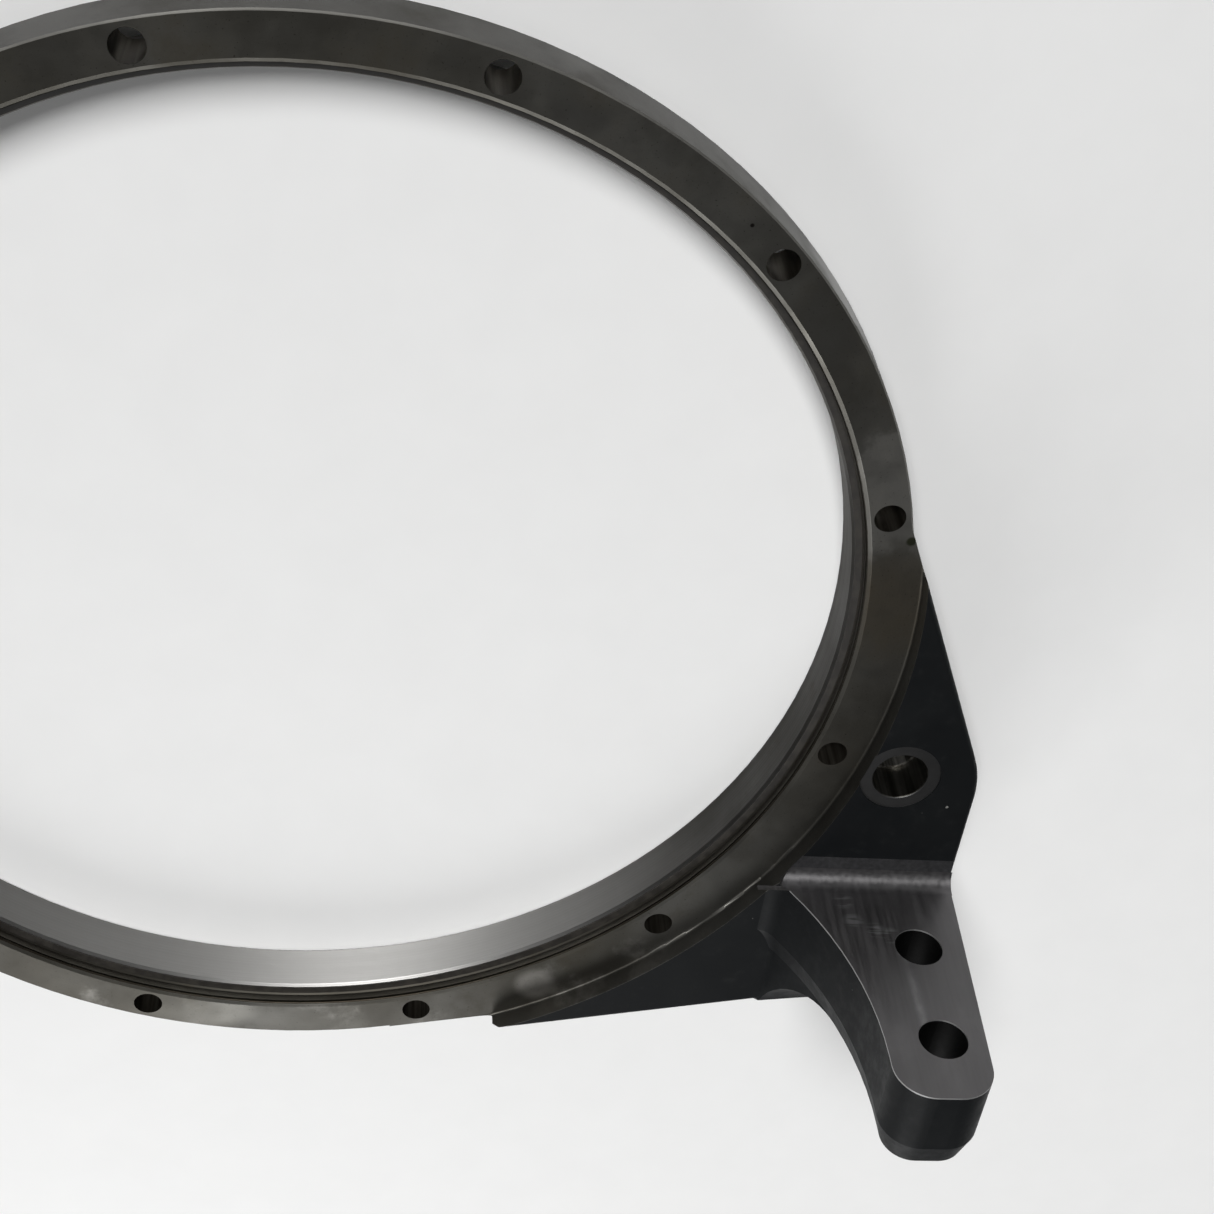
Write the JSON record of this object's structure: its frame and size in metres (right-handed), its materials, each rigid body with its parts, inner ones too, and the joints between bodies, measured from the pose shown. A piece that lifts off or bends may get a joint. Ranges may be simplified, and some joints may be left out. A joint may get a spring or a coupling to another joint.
{
  "type": "slewing ring bearing",
  "caption": "Thin slewing ring bearing: bolted flange ring with a side lug carrying a bored boss and an upright two-hole tab, and a free-turning inner ring on a caged ball row.",
  "frame": {"origin": "centre of the flange bolt circle, on the machined flange face", "axes": "+Z along the bearing axis, out of the machined flange face; +X the way the lug's upright pad faces; the lug reaches towards -Y"},
  "size_m": [0.5484, 0.592, 0.1763],
  "materials": {
    "casting": "black painted casting with machined, oil-stained faces",
    "bearing_steel": "turned bright",
    "ball_steel": "polished",
    "spring_steel": "dark, oiled",
    "carrier_steel": "turned, stained",
    "seal_rubber": "matt",
    "plug_steel": "turned",
    "bush_steel": "turned bore",
    "cage_plastic": "natural nylon",
    "nipple_steel": "zinc plated"
  },
  "bodies": {
    "housing": {"outer_ring": "casting", "retaining_wire": "spring_steel", "seal_carrier": "carrier_steel", "upper_seal": "seal_rubber", "lower_seal": "seal_rubber", "filling_plug": "plug_steel", "plug_pin": "plug_steel", "boss_bush": "bush_steel", "grease_nipple_1": "nipple_steel", "grease_nipple_2": "nipple_steel", "grease_nipple_3": "nipple_steel"},
    "turning_ring": {"inner_ring": "bearing_steel"},
    "ball_train": {"balls": "ball_steel", "cage_segment_1": "cage_plastic", "cage_segment_2": "cage_plastic", "cage_segment_3": "cage_plastic", "cage_segment_4": "cage_plastic", "cage_segment_5": "cage_plastic", "cage_segment_6": "cage_plastic"}
  },
  "joints": [
    {"name": "ring_rotation", "type": "hinge", "parent": "housing", "child": "turning_ring", "pos_m": [0, 0, -0.016], "axis": [0, 0, 1], "continuous": true},
    {"name": "ball_train_rotation", "type": "hinge", "parent": "housing", "child": "ball_train", "pos_m": [0, 0, -0.016], "axis": [0, 0, 1], "continuous": true}
  ],
  "couplings": [
    {"joint": "ball_train_rotation", "follows": "ring_rotation", "ratio": 0.4968}
  ]
}
